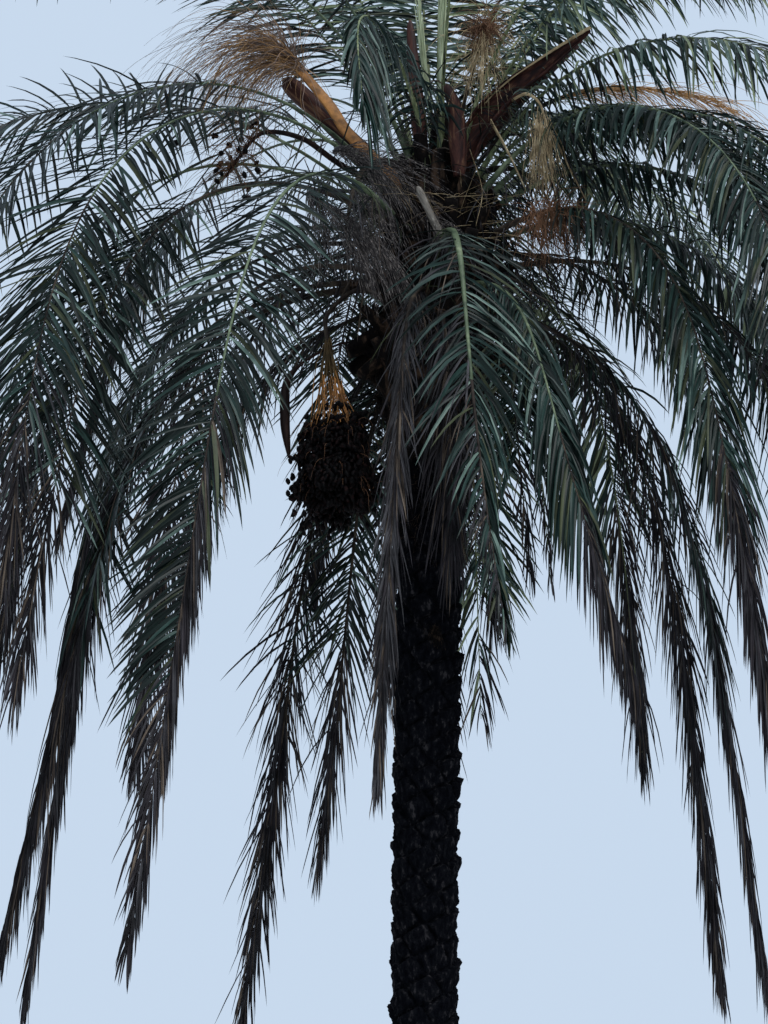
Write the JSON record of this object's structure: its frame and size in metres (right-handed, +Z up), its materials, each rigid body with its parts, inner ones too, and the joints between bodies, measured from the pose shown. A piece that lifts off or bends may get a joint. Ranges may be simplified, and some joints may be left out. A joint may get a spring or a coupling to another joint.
{
  "type": "date palm tree",
  "caption": "Date palm with a slender rough trunk, a full crown of arching and hanging feather fronds, woody spathes, spent fruit stalks and a hanging bunch of dates.",
  "frame": {"origin": "centre of the flat cut of the trunk at ground level", "axes": "+Z up along the trunk; -Y towards the viewer of the picture, +X to the viewer's right"},
  "size_m": [7.1531, 5.7264, 10.366],
  "materials": {
    "bark": "rough, dark grey-brown leaf scars",
    "leaf_base": "rough, fibrous, dark brown",
    "frond_green": "satin grey-green leaf",
    "frond_old": "dull olive leaf turning brown",
    "frond_dry": "matt grey-brown dead leaf",
    "spent_stalk": "dry straw to orange-brown",
    "dates": "dark red-brown, slightly glossy skin",
    "spathe": "smooth woody red-brown"
  },
  "bodies": {
    "root": {"broken_leaf_stalk": "spathe", "date_bunch": "dates", "frond_back_arch": "frond_green", "frond_back_hanging": "frond_old", "frond_back_high": "frond_green", "frond_back_left_arch": "frond_green", "frond_back_left_high": "frond_green", "frond_back_left_low": "frond_old", "frond_back_low": "frond_green", "frond_back_right_arch": "frond_green", "frond_back_right_high": "frond_green", "frond_back_right_short": "frond_old", "frond_front_dead": "frond_dry", "frond_front_green": "frond_green", "frond_front_hanging": "frond_dry", "frond_front_right_low": "frond_green", "frond_left_arch": "frond_green", "frond_left_arch_tail": "frond_green", "frond_left_herringbone": "frond_green", "frond_left_level": "frond_green", "frond_left_near": "frond_green", "frond_left_near_tail": "frond_green", "frond_left_outer": "frond_green", "frond_left_outer_tail": "frond_green", "frond_left_tail_far": "frond_old", "frond_left_tail_near": "frond_old", "frond_left_thin_tail": "frond_old", "frond_right_arch": "frond_green", "frond_right_arch_tail": "frond_green", "frond_right_back_arch": "frond_green", "frond_right_back_high": "frond_green", "frond_right_low": "frond_old", "frond_right_near": "frond_green", "frond_right_near_arch": "frond_green", "frond_right_outer": "frond_green", "frond_right_outer_tail": "frond_green", "frond_right_tail_far": "frond_old", "frond_right_tail_near": "frond_old", "frond_top_centre": "frond_green", "frond_top_folded": "frond_green", "frond_top_left": "frond_green", "frond_top_left_near": "frond_green", "frond_top_near": "frond_green", "frond_top_right": "frond_green", "frond_top_right_near": "frond_green", "leaf_base_boss": "leaf_base", "spathe_centre_left": "spathe", "spathe_centre_right": "spathe", "spathe_hanging": "spathe", "spathe_left": "spathe", "spathe_right": "spathe", "spathe_right_inner": "spathe", "spear_leaves": "frond_green", "spent_stalk_back": "spent_stalk", "spent_stalk_front": "spent_stalk", "spent_stalk_left": "spent_stalk", "spent_stalk_right": "spent_stalk", "spent_stalk_top": "spent_stalk", "trunk": "bark"}
  },
  "joints": []
}
